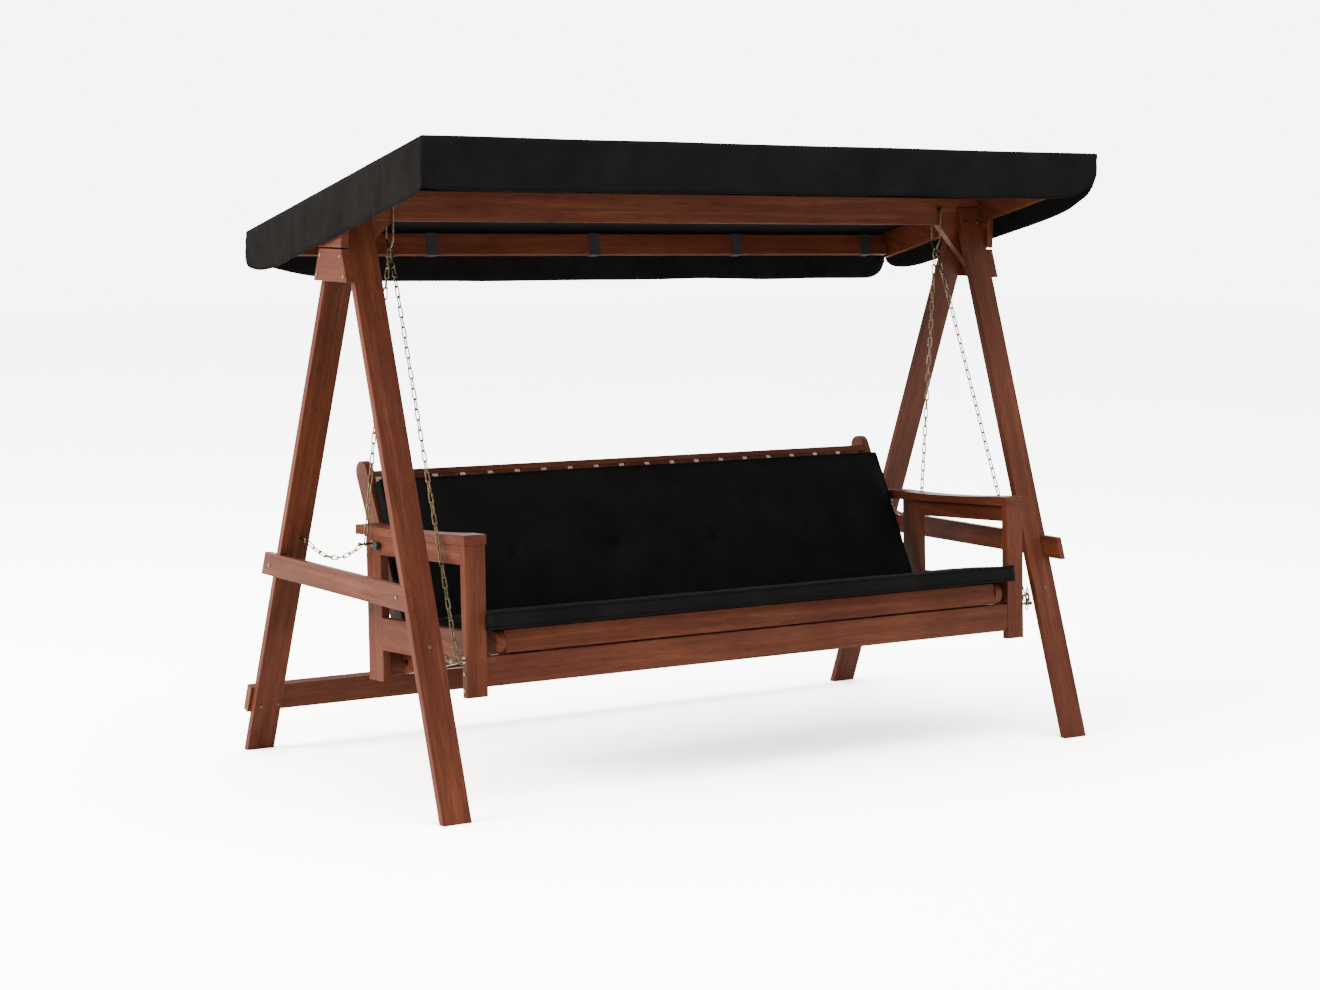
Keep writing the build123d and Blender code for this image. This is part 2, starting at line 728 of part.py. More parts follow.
def make_cross_rails():
    inside_posts = BENCH_HALF - POST_WIDTH
    middle = FRONT_FACE + CROSS_RAIL_SET + RAIL_THICK / 2
    with BuildPart(HUNG) as rail:
        with Locations((0, middle, (FRONT_RAIL_LOW + FRONT_RAIL_HIGH) / 2)):
            Box(2 * inside_posts, RAIL_THICK, FRONT_RAIL_HIGH - FRONT_RAIL_LOW)
        long_edges = rail.edges().filter_by(Axis.X)
        lowest = long_edges.sort_by(Axis.Z)[:2].sort_by(Axis.Y)[0]
        chamfer(lowest, FRONT_RAIL_BEVEL, FRONT_RAIL_BEVEL_RISE)
    save(rail.part, "front_cross_rail")

    rear_back = REAR_POST_FRONT + REAR_POST_DEPTH - CROSS_RAIL_SET
    inside_rear = BENCH_HALF - RAIL_THICK
    board(
        "rear_cross_rail", HUNG,
        (-inside_rear, rear_back - RAIL_THICK, REAR_RAIL_LOW),
        (inside_rear, rear_back, REAR_RAIL_HIGH),
    )


def make_bench_fittings():
    """Bolts that take the chains, clamping knobs, and the screws of the arms."""
    bolts = []
    knobs = []
    spots = []
    knob_place = (REAR_BOLT[1] - KNOB_AHEAD, REAR_BOLT[2] - KNOB_BELOW)
    for side in (-1, 1):
        for _, y, z in (FRONT_BOLT, REAR_BOLT):
            with BuildPart() as bolt:
                with BuildSketch(side_view(HUNG, side * BENCH_HALF)):
                    with Locations((y, z)):
                        Circle(CHAIN_BOLT_R)
                extrude(amount=side * CHAIN_BOLT_REACH)
                with BuildSketch(side_view(HUNG, side * (BENCH_HALF + CHAIN_BOLT_REACH))):
                    with Locations((y, z)):
                        RegularPolygon(radius=NUT_R, side_count=6)
                extrude(amount=side * NUT_HEIGHT)
                with BuildSketch(side_view(HUNG, side * BENCH_HALF)):
                    with Locations((y, z)):
                        Circle(CHAIN_WASHER_R)
                extrude(amount=side * WASHER_THICK)
            bolts.append(bolt.part)
        with BuildPart() as knob:
            with BuildSketch(side_view(HUNG, side * BENCH_HALF)):
                with Locations(knob_place):
                    Circle(KNOB_STEM_R)
            extrude(amount=side * KNOB_STEM)
            with BuildSketch(side_view(HUNG, side * (BENCH_HALF + KNOB_STEM))):
                with Locations(knob_place):
                    Circle(KNOB_R)
            extrude(amount=side * KNOB_DEPTH)
            fillet(knob.edges().sort_by(Axis.X)[-1 if side > 0 else 0], KNOB_ROUND)
        knobs.append(knob.part)
        out = HUNG.x_dir * side
        post_middle = FRONT_FACE + RAIL_THICK / 2
        for z in FRONT_POST_SCREWS:
            spots.append((bench_point(side, (BENCH_HALF, post_middle, z)), out))
        back = HUNG.y_dir
        rear_back = REAR_POST_FRONT + REAR_POST_DEPTH
        for z in REAR_POST_SCREWS:
            spots.append((bench_point(side, (BENCH_HALF - RAIL_THICK / 2, rear_back, z)), back))
    save(Compound(children=bolts), "chain_bolts")
    save(Compound(children=knobs), "clamp_knobs")
    screw_set("arm_screws", spots)


# ---- seat ---------------------------------------------------------------------
def round_ended(name, frame, side, inner, outer, start, end):
    """A board with fully rounded ends and a bolt hole on the hinge line."""
    span = end - start
    with BuildPart() as piece:
        with BuildSketch(side_view(frame, cheek_x(side, inner, outer))):
            with Locations(((start + end) / 2, 0)):
                SlotCenterToCenter(abs(span), BEAD_WIDTH)
            Circle(HINGE_BOLT_R + RUNNING_GAP, mode=Mode.SUBTRACT)
        extrude(amount=outer - inner)
        rim = piece.faces().filter_by(Axis.X).edges()
        fillet(rim.filter_by(lambda edge: edge.length > BEAD_WIDTH), EASE)
    save(piece.part, name)


def slats(name, frame, start, end, low):
    """Slats that run along a frame, side by side."""
    spread = (SLAT_COUNT - 1) * SLAT_PITCH
    with BuildPart(frame) as slat:
        with Locations((0, (start + end) / 2, low + SLAT_THICK / 2)):
            Box(SLAT_WIDTH, end - start, SLAT_THICK)
        fillet(slat.edges().sort_by(SortBy.LENGTH)[-4:], EASE)
    row = [
        slat.part.moved(Location((-spread / 2 + number * SLAT_PITCH, 0, 0)))
        for number in range(SLAT_COUNT)
    ]
    save(Compound(children=row), name)


def cushion(name, frame, half, start, end, low, high):
    """The plain volume of a cushion, its edges rounded."""
    with BuildPart(frame) as pad:
        with Locations((0, (start + end) / 2, (low + high) / 2)):
            Box(2 * half, end - start, high - low)
        fillet(pad.edges(), CUSHION_ROUND)
    save(pad.part, name)


def make_seat():
    for side, word in ((-1, "left"), (1, "right")):
        round_ended(
            f"seat_rail_{word}", SEAT, side, SEAT_RAIL_INNER, SEAT_RAIL_OUTER, -SEAT_REACH, 0
        )
    front = -SEAT_REACH - SEAT_FRONT_LAP
    board(
        "seat_front_board", SEAT,
        (-SEAT_RAIL_INNER, front, -bead_half), (SEAT_RAIL_INNER, front + RAIL_THICK, SEAT_TOP),
    )
    board(
        "seat_rear_board", SEAT,
        (-SEAT_RAIL_INNER, SEAT_REAR_BOARD, -bead_half),
        (SEAT_RAIL_INNER, SEAT_REAR_BOARD + RAIL_THICK, SEAT_TOP),
    )
    slats("seat_slats", SEAT, front + RAIL_THICK, SEAT_REAR_BOARD, SEAT_TOP - SLAT_THICK)
    bed = turned(SEAT, (0, SEAT_CUSHION_FRONT, SEAT_CUSHION_UNDER), SEAT_CUSHION_TURN)
    cushion("seat_cushion", bed, CUSHION_HALF, 0, SEAT_CUSHION_DEPTH, 0, SEAT_CUSHION_THICK)


# ---- back ---------------------------------------------------------------------
def make_back():
    for side, word in ((-1, "left"), (1, "right")):
        round_ended(f"back_stile_{word}", BACK, side, STILE_INNER, STILE_OUTER, 0, STILE_REACH)
    for word, start in (("bottom", BACK_RAIL_LOW), ("top", BACK_RAIL_HIGH)):
        board(
            f"back_{word}_rail", BACK,
            (-STILE_INNER, start, -bead_half), (STILE_INNER, start + BACK_RAIL_THICK, bead_half),
        )
    slat_under = bead_half - BACK_SLAT_SET - SLAT_THICK
    slats("back_slats", BACK, BACK_RAIL_LOW + BACK_RAIL_THICK, BACK_RAIL_HIGH, slat_under)
    low = bead_half + BACK_CUSHION_GAP
    cushion(
        "back_cushion", BACK, BACK_CUSHION_HALF,
        BACK_CUSHION_FOOT, BACK_CUSHION_HEAD, low, low + BACK_CUSHION_THICK,
    )

    bolts = []
    start = SEAT_RAIL_INNER - HINGE_BOLT_OVER
    end = STILE_OUTER + HINGE_BOLT_OVER
    for side in (-1, 1):
        with BuildPart() as bolt:
            with BuildSketch(side_view(BACK, side * start)):
                Circle(HINGE_BOLT_R)
            extrude(amount=side * (end - start))
            for x, way in ((start, -1), (end, 1)):
                with BuildSketch(side_view(BACK, side * x)):
                    RegularPolygon(radius=HINGE_NUT_R, side_count=6)
                extrude(amount=side * way * NUT_HEIGHT)
        bolts.append(bolt.part)
    save(Compound(children=bolts), "hinge_bolts")


os.makedirs("parts", exist_ok=True)
make_stand()
make_roof()
make_straps()
screw_set("stand_screws", stand_screws())
make_stirrups()
make_hooks()
make_chains()
make_arms()
make_cross_rails()
make_bench_fittings()
make_seat()
make_back()
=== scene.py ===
from math import cos, pi, radians, sin, sqrt, tan

import bmesh
import bpy
from mathutils import Matrix, Vector, noise


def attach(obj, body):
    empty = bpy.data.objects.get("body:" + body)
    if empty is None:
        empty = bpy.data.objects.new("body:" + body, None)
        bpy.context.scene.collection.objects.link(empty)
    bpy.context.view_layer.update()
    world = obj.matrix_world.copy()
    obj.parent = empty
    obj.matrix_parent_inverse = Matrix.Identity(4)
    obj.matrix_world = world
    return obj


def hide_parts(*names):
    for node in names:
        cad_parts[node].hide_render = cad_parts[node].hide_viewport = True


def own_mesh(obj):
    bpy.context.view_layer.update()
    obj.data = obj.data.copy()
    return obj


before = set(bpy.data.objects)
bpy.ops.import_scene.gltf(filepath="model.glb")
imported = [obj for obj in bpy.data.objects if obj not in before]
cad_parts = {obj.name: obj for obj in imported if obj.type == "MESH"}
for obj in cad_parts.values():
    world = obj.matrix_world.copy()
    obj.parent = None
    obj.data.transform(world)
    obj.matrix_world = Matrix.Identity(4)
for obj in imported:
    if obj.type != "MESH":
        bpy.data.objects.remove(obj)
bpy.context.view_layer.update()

# ---- sizes, in metres -----------------------------------------------------------
PIVOT_LEVEL = 1.627
HANG_TILT = radians(3.2)
STIRRUP_X = 1.075
SEAT_SLOPE = radians(12.24)
BACK_LEAN = radians(24.4)
HINGE = (0, 0.071, 0.358)
ROOF_PITCH = radians(14.8)
ROOF_MIDDLE = (0, -0.0135, 1.8035)
ROOF_HALF_X = 1.288
ROOF_HALF_Y = 0.5625
LINK_WIRE = 0.004
LINK_BORE = 0.008
LINK_INSIDE = 0.032
LEG_LEAN = radians(19.2)
LEG_THICK = 0.024
STAND_HALF = 0.6325


# ---- small helpers --------------------------------------------------------------
def linear(code):
    """An sRGB colour written as hex, as a linear RGBA colour."""
    channels = [int(code[i:i + 2], 16) / 255 for i in (0, 2, 4)]
    return [c / 12.92 if c <= 0.04045 else ((c + 0.055) / 1.055) ** 2.4 for c in channels] + [1]


def add(tree, kind, links=(), **values):
    """A node with its settings and input values; links are (input, socket) pairs."""
    node = tree.nodes.new(kind)
    for key, value in values.items():
        if hasattr(node, key):
            setattr(node, key, value)
        else:
            node.inputs[key.replace("_", " ")].default_value = value
    for name, socket in links:
        tree.links.new(socket, node.inputs[name])
    return node


def new_material(name, **shader):
    """A material and its tree, shader node and object coordinates."""
    material = bpy.data.materials.new(name)
    material.use_nodes = True
    tree = material.node_tree
    bsdf = tree.nodes["Principled BSDF"]
    for key, value in shader.items():
        bsdf.inputs[key.replace("_", " ")].default_value = value
    coords = tree.nodes.new("ShaderNodeTexCoord").outputs["Object"]
    return material, tree, bsdf, coords


def ramp(tree, factor, stops):
    """A colour ramp from (position, hex) stops."""
    node = add(tree, "ShaderNodeValToRGB", [("Fac", factor)])
    elements = node.color_ramp.elements
    while len(elements) < len(stops):
        elements.new(0.5)
    for element, (position, code) in zip(elements, stops):
        element.position = position
        element.color = linear(code)
    return node.outputs["Color"]


def bump(tree, bsdf, height, distance, strength=1.0):
    node = add(tree, "ShaderNodeBump", [("Height", height)], Strength=strength, Distance=distance)
    tree.links.new(node.outputs["Normal"], bsdf.inputs["Normal"])


# ---- materials ------------------------------------------------------------------
def stained_pine(name, turn):
    """Pine under a thin satin red-brown stain: streaks follow the board's length, with
    fine dark pores and an uneven sheen where the stain sits in the grain."""
    material, tree, bsdf, coords = new_material(
        name, IOR=1.5, Specular_IOR_Level=0.018
    )
    streak = add(tree, "ShaderNodeMapping", [("Vector", coords)], vector_type="TEXTURE")
    streak.inputs["Rotation"].default_value = turn
    streak.inputs["Scale"].default_value = (0.022, 0.022, 0.55)
    bands = add(
        tree, "ShaderNodeTexNoise", [("Vector", streak.outputs[0])],
        Scale=1.0, Detail=6.0, Roughness=0.6, Distortion=0.7,
    )
    fine = add(tree, "ShaderNodeMapping", [("Vector", coords)], vector_type="TEXTURE")
    fine.inputs["Rotation"].default_value = turn
    fine.inputs["Scale"].default_value = (0.0016, 0.0016, 0.05)
    pores = add(
        tree, "ShaderNodeTexNoise", [("Vector", fine.outputs[0])],
        Scale=1.0, Detail=3.0, Roughness=0.6,
    )
    blotch = add(
        tree, "ShaderNodeTexNoise", [("Vector", coords)], Scale=3.1, Detail=2.0, Roughness=0.5
    )
    colour = ramp(
        tree, bands.outputs["Fac"],
        [(0.28, WOOD_DARK), (0.46, WOOD_MID), (0.60, WOOD_WARM), (0.76, WOOD_LIGHT)],
    )
    grain = ramp(tree, pores.outputs["Fac"], [(0.30, "a89690"), (0.52, "ffffff")])
    shade = ramp(tree, blotch.outputs["Fac"], [(0.30, "d2c2bc"), (0.70, "ffffff")])
    first = add(tree, "ShaderNodeMix", data_type="RGBA", blend_type="MULTIPLY")
    first.inputs[0].default_value = 0.85
    tree.links.new(colour, first.inputs[6])
    tree.links.new(grain, first.inputs[7])
    second = add(tree, "ShaderNodeMix", data_type="RGBA", blend_type="MULTIPLY")
    second.inputs[0].default_value = 0.8
    tree.links.new(first.outputs[2], second.inputs[6])
    tree.links.new(shade, second.inputs[7])
    tree.links.new(second.outputs[2], bsdf.inputs["Base Color"])
    rough = add(
        tree, "ShaderNodeMapRange", [("Value", bands.outputs["Fac"])],
        From_Min=0.3, From_Max=0.7, To_Min=0.52, To_Max=0.40,
    )
    tree.links.new(rough.outputs[0], bsdf.inputs["Roughness"])
    bump(tree, bsdf, pores.outputs["Fac"], 0.0004, 0.5)
    return material


WOOD_DARK = "200d07"
WOOD_MID = "261109"
WOOD_WARM = "2b150b"
WOOD_LIGHT = "341b0f"


def woven_cloth(name, light, dark, thread, sheen):
    """Plain-woven polyester: crossed threads catch light in tiny rows, and a soft sheen
    lifts the edges that turn away."""
    material, tree, bsdf, coords = new_material(
        name, Roughness=0.88, Sheen_Weight=sheen, Sheen_Roughness=0.45, Specular_IOR_Level=0.008
    )
    bsdf.inputs["Sheen Tint"].default_value = linear("9a9aa2")
    rows = []
    for direction in ("X", "Y", "Z"):
        wave = add(
            tree, "ShaderNodeTexWave", [("Vector", coords)],
            wave_type="BANDS", bands_direction=direction, Scale=0.314 / thread, Distortion=0.4,
        )
        rows.append(wave.outputs["Fac"])
    pair = add(tree, "ShaderNodeMath", [(0, rows[0]), (1, rows[1])], operation="ADD")
    weave = add(tree, "ShaderNodeMath", [(0, pair.outputs[0]), (1, rows[2])], operation="ADD")
    cloud = add(
        tree, "ShaderNodeTexNoise", [("Vector", coords)], Scale=7.0, Detail=4.0, Roughness=0.55
    )
    colour = ramp(tree, cloud.outputs["Fac"], [(0.3, dark), (0.7, light)])
    tree.links.new(colour, bsdf.inputs["Base Color"])
    bump(tree, bsdf, weave.outputs[0], 0.00025, 0.6)
    return material


def zinc_steel(name):
    """Yellow-passivated zinc on steel wire: pale brassy metal, cloudy rather than
    polished."""
    material, tree, bsdf, coords = new_material(name, Metallic=1.0)
    cloud = add(
        tree, "ShaderNodeTexNoise", [("Vector", coords)], Scale=90.0, Detail=3.0, Roughness=0.6
    )
    colour = ramp(tree, cloud.outputs["Fac"], [(0.3, "1b150a"), (0.7, "3d321b")])
    tree.links.new(colour, bsdf.inputs["Base Color"])
    rough = add(
        tree, "ShaderNodeMapRange", [("Value", cloud.outputs["Fac"])],
        From_Min=0.3, From_Max=0.7, To_Min=0.45, To_Max=0.28,
    )
    tree.links.new(rough.outputs[0], bsdf.inputs["Roughness"])
    return material


def moulded_plastic(name):
    """Black moulded plastic with a faint spark-eroded texture, so highlights spread."""
    material, tree, bsdf, coords = new_material(name, Specular_IOR_Level=0.06)
    grit = add(
        tree, "ShaderNodeTexNoise", [("Vector", coords)], Scale=900.0, Detail=2.0, Roughness=0.5
    )
    colour = ramp(tree, grit.outputs["Fac"], [(0.3, "060606"), (0.7, "0c0c0d")])
    tree.links.new(colour, bsdf.inputs["Base Color"])
    bsdf.inputs["Roughness"].default_value = 0.5
    bump(tree, bsdf, grit.outputs["Fac"], 0.0002, 0.4)
    return material


def webbing(name):
    """Black polypropylene strap: ribs across its width in the bump, with a painted highlight on the rib tops
    and painted shade in the grooves, striped in its colour along the same bands.
    """
    material, tree, bsdf, coords = new_material(name, Roughness=0.6, Specular_IOR_Level=0.05)
    ribs = add(
        tree, "ShaderNodeTexWave", [("Vector", coords)],
        wave_type="BANDS", bands_direction="X", Scale=150.0,
    )
    # painted highlight and painted shade: the colour follows the rib bands, lighter on the rib tops and
    # darker in the grooves between them
    colour = ramp(tree, ribs.outputs["Fac"], [(0.2, "060606"), (0.8, "101012")])
    tree.links.new(colour, bsdf.inputs["Base Color"])
    bump(tree, bsdf, ribs.outputs["Fac"], 0.0004, 0.6)
    return material


ALONG_X = (0, radians(90), 0)
ALONG_Y = (radians(90), 0, 0)
ALONG_ARM = (radians(93.2), 0, 0)
UPRIGHT = (radians(-3.2), 0, 0)
GRAINS = {
    "along the beam": (ALONG_X, (
        "top_beam", "rear_stretcher", "roof_front_rail", "roof_rear_rail", "front_cross_rail",
        "rear_cross_rail", "seat_front_board", "seat_rear_board", "back_top_rail",
        "back_bottom_rail",
    )),
    "front to back": (ALONG_Y, (
        "side_brace_left", "side_brace_right", "gusset_left", "gusset_right",
        "roof_block_left", "roof_block_right",
    )),
    "along the arm": (ALONG_ARM, (
        "armrest_left", "armrest_right", "arm_upper_rail_left", "arm_upper_rail_right",
        "arm_lower_rail_left", "arm_lower_rail_right",
    )),
    "up the arm post": (UPRIGHT, (
        "arm_front_post_left", "arm_front_post_right", "arm_rear_post_left",
        "arm_rear_post_right",
    )),
    "up the front leg": ((-LEG_LEAN, 0, 0), ("leg_front_left", "leg_front_right")),
    "up the rear leg": ((LEG_LEAN, 0, 0), ("leg_rear_left", "leg_rear_right")),
    "down the roof": ((radians(90) + ROOF_PITCH, 0, 0), (
        "roof_side_rail_left", "roof_side_rail_right",
    )),
    "down the knee": ((0, radians(45), 0), ("knee_braces",)),
    "along the seat": ((radians(90) + SEAT_SLOPE + HANG_TILT, 0, 0), (
        "seat_rail_left", "seat_rail_right", "seat_slats",
    )),
    "up the back": ((-BACK_LEAN - HANG_TILT, 0, 0), (
        "back_stile_left", "back_stile_right", "back_slats",
    )),
}
METAL_NODES = (
    "stand_screws", "arm_screws", "stirrups", "stirrup_bolts", "leg_hooks", "chain_bolts",
    "hinge_bolts",
)


def dress(node, material):
    """Gives a carried-over node its material."""
    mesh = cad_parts[node].data
    mesh.materials.clear()
    mesh.materials.append(material)


for words, (turn, nodes) in GRAINS.items():
    wood = stained_pine(f"stained pine, satin, grain {words}", turn)
    for node in nodes:
        dress(node, wood)
zinc = zinc_steel("yellow zinc on steel, satin")
for node in METAL_NODES:
    dress(node, zinc)
dress("clamp_knobs", moulded_plastic("black moulded plastic, matt"))
roof_cloth = woven_cloth("black woven polyester, matt", "050505", "030303", 0.0016, 0.0015)
cushion_cloth = woven_cloth("black cushion polyester, matt", "050505", "030303", 0.0012, 0.0015)
strap_cloth = webbing("black webbing, ribbed")
thread = woven_cloth("black sewing thread, matt", "0b0b0c", "080809", 0.0006, 0.004)


# ---- frames of the leaning parts --------------------------------------------------
def tilted(origin, angle, parent=Matrix.Identity(4)):
    """A frame at an origin of its parent, turned by an angle about X."""
    return parent @ Matrix.Translation(origin) @ Matrix.Rotation(angle, 4, "X")


HUNG = tilted((0, 0, PIVOT_LEVEL), -HANG_TILT) @ Matrix.Translation((0, 0, -PIVOT_LEVEL))
SEAT = tilted(HINGE, -SEAT_SLOPE, HUNG)
BACK = tilted(HINGE, radians(90) - BACK_LEAN, HUNG)
BED = tilted((0, -0.540, 0.033), radians(3.84), SEAT)
ROOF = tilted(ROOF_MIDDLE, -ROOF_PITCH)


def in_scene(name, data):
    """An object that shows some data, at the origin of the scene."""
    piece = bpy.data.objects.new(name, data)
    bpy.context.scene.collection.objects.link(piece)
    return piece


def mesh_object(name, vertices, faces, material):
    mesh = bpy.data.meshes.new(name)
    mesh.from_pydata([tuple(v) for v in vertices], [], faces)
    mesh.update()
    mesh.materials.append(material)
    return in_scene(name, mesh)


def smooth(piece):
    for polygon in piece.data.polygons:
        polygon.use_smooth = True


def outward(piece):
    """Turns every face of a closed piece outwards."""
    shape = bmesh.new()
    shape.from_mesh(piece.data)
    bmesh.ops.recalc_face_normals(shape, faces=shape.faces)
    shape.to_mesh(piece.data)
    shape.free()


def applied(piece):
    """The piece's mesh with its modifiers worked in, and the modifiers gone."""
    bpy.context.view_layer.update()
    seen = piece.evaluated_get(bpy.context.evaluated_depsgraph_get())
    mesh = bpy.data.meshes.new_from_object(seen)
    piece.modifiers.clear()
    old = piece.data
    piece.data = mesh
    bpy.data.meshes.remove(old)
    return piece


def joined(name, pieces):
    """Several mesh objects as one."""
    shape = bmesh.new()
    for piece in pieces:
        shape.from_mesh(piece.data)
    mesh = bpy.data.meshes.new(name)
    shape.to_mesh(mesh)
    shape.free()
    for material in pieces[0].data.materials:
        mesh.materials.append(material)
    whole = in_scene(name, mesh)
    for piece in pieces:
        bpy.data.objects.remove(piece)
    return whole


def fade(distance):
    """One at no distance, and falling smoothly to nothing."""
    return 2.72 ** -distance


# ---- things that repeat -----------------------------------------------------------
def group(name, inputs):
    """An empty geometry group with named number inputs, and its input node."""
    tree = bpy.data.node_groups.new(name, "GeometryNodeTree")
    tree.interface.new_socket("Geometry", in_out="INPUT", socket_type="NodeSocketGeometry")
    for label, kind, value in inputs:
        socket = tree.interface.new_socket(label, in_out="INPUT", socket_type=kind)
        socket.default_value = value
    tree.interface.new_socket("Geometry", in_out="OUTPUT", socket_type="NodeSocketGeometry")
    return tree, tree.nodes.new("NodeGroupInput")


def finish_group(tree, instances, material):
    """Makes the instances real, gives them their material and ends the group."""
    real = add(tree, "GeometryNodeRealizeInstances", [("Geometry", instances)])
    shaded = add(tree, "GeometryNodeSetMaterial", [("Geometry", real.outputs[0])])
    shaded.inputs["Material"].default_value = material
    end = tree.nodes.new("NodeGroupOutput")
    tree.links.new(shaded.outputs[0], end.inputs["Geometry"])
    return tree


def chain_group():
    """Links on a run of points, each turned about its length from the one before."""
    tree, given = group("chain links", (
        ("Wire", "NodeSocketFloat", LINK_WIRE),
        ("Bore", "NodeSocketFloat", LINK_BORE),
        ("Inside", "NodeSocketFloat", LINK_INSIDE),
        ("First turn", "NodeSocketFloat", 0.0),
        ("Turn", "NodeSocketFloat", pi / 2),
    ))
    wide = add(
        tree, "ShaderNodeMath", [(0, given.outputs["Bore"]), (1, given.outputs["Wire"])],
        operation="ADD",
    )
    bend = add(tree, "ShaderNodeMath", [(0, wide.outputs[0])], operation="MULTIPLY")
    bend.inputs[1].default_value = 0.5
    ring = add(tree, "GeometryNodeCurvePrimitiveCircle", [("Radius", bend.outputs[0])])
    ring.inputs["Resolution"].default_value = 12
    spare = add(
        tree, "ShaderNodeMath", [(0, given.outputs["Inside"]), (1, given.outputs["Bore"])],
        operation="SUBTRACT",
    )
    straight = add(tree, "ShaderNodeMath", [(0, spare.outputs[0])], operation="MULTIPLY")
    straight.inputs[1].default_value = 0.5
    place = add(tree, "ShaderNodeSeparateXYZ", [(0, tree.nodes.new("GeometryNodeInputPosition").outputs[0])])
    half = add(tree, "ShaderNodeMath", [(0, place.outputs["Y"])], operation="ADD")
    half.inputs[1].default_value = 0.0002
    way = add(tree, "ShaderNodeMath", [(0, half.outputs[0])], operation="SIGN")
    shift = add(
        tree, "ShaderNodeMath", [(0, way.outputs[0]), (1, straight.outputs[0])],
        operation="MULTIPLY",
    )
    offset = add(tree, "ShaderNodeCombineXYZ", [("Y", shift.outputs[0])])
    oval = add(
        tree, "GeometryNodeSetPosition",
        [("Geometry", ring.outputs[0]), ("Offset", offset.outputs[0])],
    )
    thin = add(tree, "ShaderNodeMath", [(0, given.outputs["Wire"])], operation="MULTIPLY")
    thin.inputs[1].default_value = 0.5
    wire = add(tree, "GeometryNodeCurvePrimitiveCircle", [("Radius", thin.outputs[0])])
    wire.inputs["Resolution"].default_value = 8
    solid = add(
        tree, "GeometryNodeCurveToMesh",
        [("Curve", oval.outputs[0]), ("Profile Curve", wire.outputs[0])],
    )
    upright = add(tree, "GeometryNodeTransform", [("Geometry", solid.outputs[0])])
    upright.inputs["Rotation"].default_value = (radians(90), 0, 0)
    run = add(tree, "GeometryNodeMeshToCurve", [(0, given.outputs["Geometry"])])
    tangent = tree.nodes.new("GeometryNodeInputTangent").outputs[0]
    along = add(tree, "FunctionNodeAlignRotationToVector", [("Vector", tangent)], axis="Z")
    level = add(
        tree, "FunctionNodeAlignRotationToVector", [("Rotation", along.outputs[0])],
        axis="X", pivot_axis="Z",
    )
    level.inputs["Vector"].default_value = (1, 0, 0)
    number = tree.nodes.new("GeometryNodeInputIndex").outputs[0]
    turns = add(
        tree, "ShaderNodeMath", [(0, number), (1, given.outputs["Turn"])], operation="MULTIPLY"
    )
    total = add(
        tree, "ShaderNodeMath", [(0, turns.outputs[0]), (1, given.outputs["First turn"])],
        operation="ADD",
    )
    spin = add(tree, "FunctionNodeAxisAngleToRotation", [("Angle", total.outputs[0])])
    spin.inputs["Axis"].default_value = (0, 0, 1)
    turned = add(
        tree, "FunctionNodeRotateRotation",
        [("Rotation", level.outputs[0]), ("Rotate By", spin.outputs[0])],
        rotation_space="LOCAL",
    )
    points = add(tree, "GeometryNodeCurveToPoints", [("Curve", run.outputs[0])], mode="EVALUATED")
    keep = add(
        tree, "GeometryNodeCaptureAttribute", [("Geometry", run.outputs[0])], domain="POINT"
    )
    keep.capture_items.new("ROTATION", "Facing")
    tree.links.new(turned.outputs[0], keep.inputs["Facing"])
    tree.links.new(keep.outputs[0], points.inputs["Curve"])
    spread = add(
        tree, "GeometryNodeInstanceOnPoints",
        [("Points", points.outputs[0]), ("Instance", upright.outputs[0]),
         ("Rotation", keep.outputs["Facing"])],
    )
    return finish_group(tree, spread.outputs[0], zinc)


def stitch_group():
    """Short thread stitches laid end to end along a seam line."""
    tree, given = group("stitches", (
        ("Pitch", "NodeSocketFloat", 0.006),
        ("Length", "NodeSocketFloat", 0.0042),
        ("Thread", "NodeSocketFloat", 0.0005),
    ))
    run = add(tree, "GeometryNodeMeshToCurve", [(0, given.outputs["Geometry"])])
    spaced = add(
        tree, "GeometryNodeCurveToPoints",
        [("Curve", run.outputs[0]), ("Length", given.outputs["Pitch"])], mode="LENGTH",
    )
    stitch = add(
        tree, "GeometryNodeMeshCylinder",
        [("Radius", given.outputs["Thread"]), ("Depth", given.outputs["Length"])],
    )
    stitch.inputs["Vertices"].default_value = 5
    spread = add(
        tree, "GeometryNodeInstanceOnPoints",
        [("Points", spaced.outputs["Points"]), ("Instance", stitch.outputs["Mesh"]),
         ("Rotation", spaced.outputs["Rotation"])],
    )
    return finish_group(tree, spread.outputs[0], thread)


def path_object(name, runs):
    """A mesh of open lines, one for each run of points."""
    vertices = []
    edges = []
    for run in runs:
        start = len(vertices)
        vertices += [tuple(point) for point in run]
        edges += [(start + i, start + i + 1) for i in range(len(run) - 1)]
    mesh = bpy.data.meshes.new(name)
    mesh.from_pydata(vertices, edges, [])
    return in_scene(name, mesh)


def grown(name, runs, tree, **values):
    """A plain mesh grown by a group along runs of points."""
    piece = path_object(name, runs)
    modifier = piece.modifiers.new("grow", "NODES")
    modifier.node_group = tree
    for item in tree.interface.items_tree:
        if item.in_out == "INPUT" and item.name.replace(" ", "_") in values:
            modifier[item.identifier] = values[item.name.replace(" ", "_")]
    return applied(piece)


# ---- chains ------------------------------------------------------------------------
links = chain_group()
stitches = stitch_group()
HALF_LINK = (LINK_INSIDE + LINK_WIRE) / 2
BOLT_PLAY = 0.006
CHAINS_APART = 0.0025    # each chain from the middle of its stirrup
FRONT_BOLT = (1.110, -0.4015, 0.415)
REAR_BOLT = (1.110, 0.134, 0.725)


def bench_point(side, spot):
    """A point of the hanging frame, mirrored to a side."""
    x, y, z = spot
    return HUNG @ Vector((side * x, y, z))


